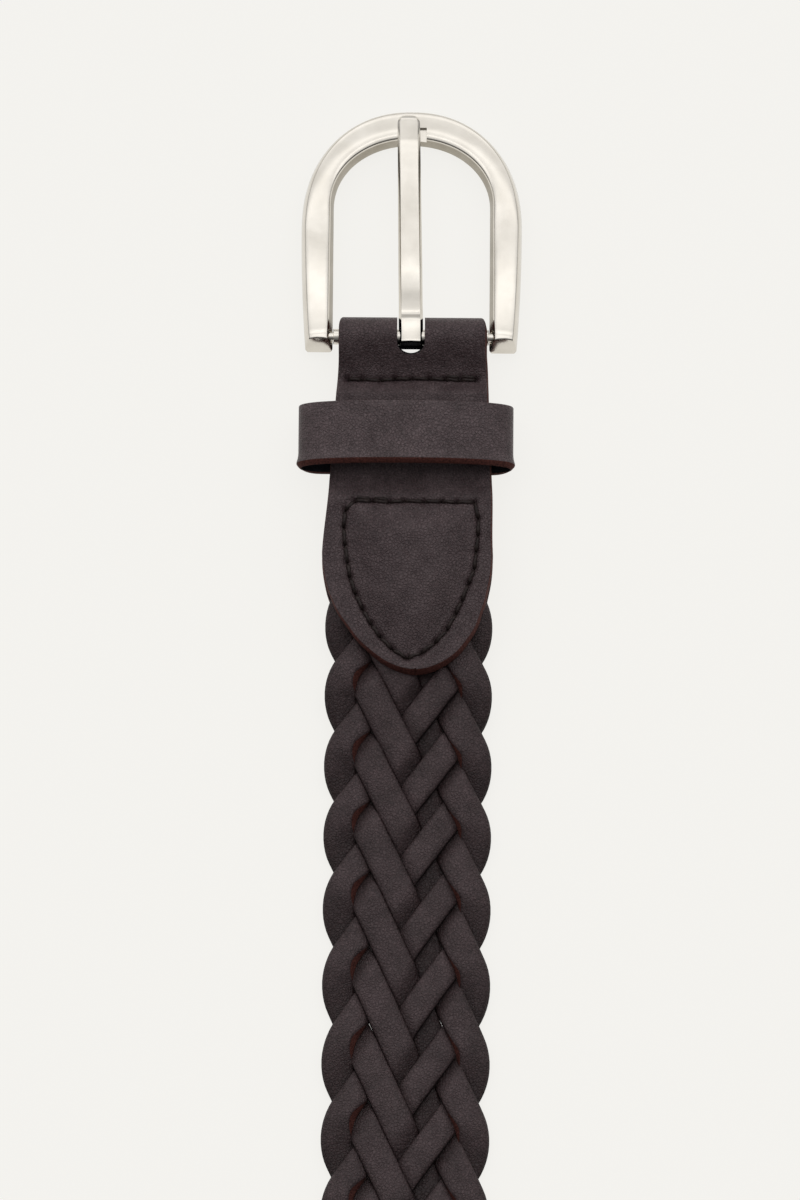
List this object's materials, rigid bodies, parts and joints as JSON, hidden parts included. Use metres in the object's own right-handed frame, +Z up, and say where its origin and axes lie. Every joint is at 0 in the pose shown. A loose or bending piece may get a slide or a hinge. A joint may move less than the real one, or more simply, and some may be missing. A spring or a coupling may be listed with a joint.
{
  "type": "braided leather belt",
  "caption": "Dark brown braided leather belt with a satin nickel horseshoe buckle, keeper loop and stitched tab, laid flat and straight.",
  "frame": {"origin": "bottom centre of the bounding box, on the surface that the belt lies on", "axes": "+Y along the belt towards the buckle's arch, +Z up out of the belt's face, +X to the right seen from above with the buckle away"},
  "size_m": [0.0462, 1.05, 0.0126],
  "materials": {
    "tab_leather": "fine grained, matt satin",
    "strand_leather": "fine grained, matt satin, with red brown cut edges",
    "satin_nickel": "satin nickel plate",
    "thread": "waxed dark brown thread"
  },
  "bodies": {
    "strap": {"buckle_tab": "tab_leather", "keeper_loop": "tab_leather", "braid_strand_1": "strand_leather", "braid_strand_2": "strand_leather", "braid_strand_3": "strand_leather", "braid_strand_4": "strand_leather", "braid_strand_5": "strand_leather", "braid_strand_6": "strand_leather", "braid_strand_7": "strand_leather", "tip_front": "tab_leather", "tip_back": "tab_leather"},
    "buckle": {"buckle_frame": "satin_nickel", "buckle_bar": "satin_nickel"},
    "prong": {"prong": "satin_nickel"}
  },
  "joints": [
    {"name": "buckle_swing", "type": "hinge", "parent": "strap", "child": "buckle", "pos_m": [0, 0.476, 0.00415], "axis": [1, 0, 0], "range_deg": [-75, 22]},
    {"name": "prong_swing", "type": "hinge", "parent": "buckle", "child": "prong", "pos_m": [0, 0.476, 0.00415], "axis": [1, 0, 0], "range_deg": [0, 75]}
  ]
}
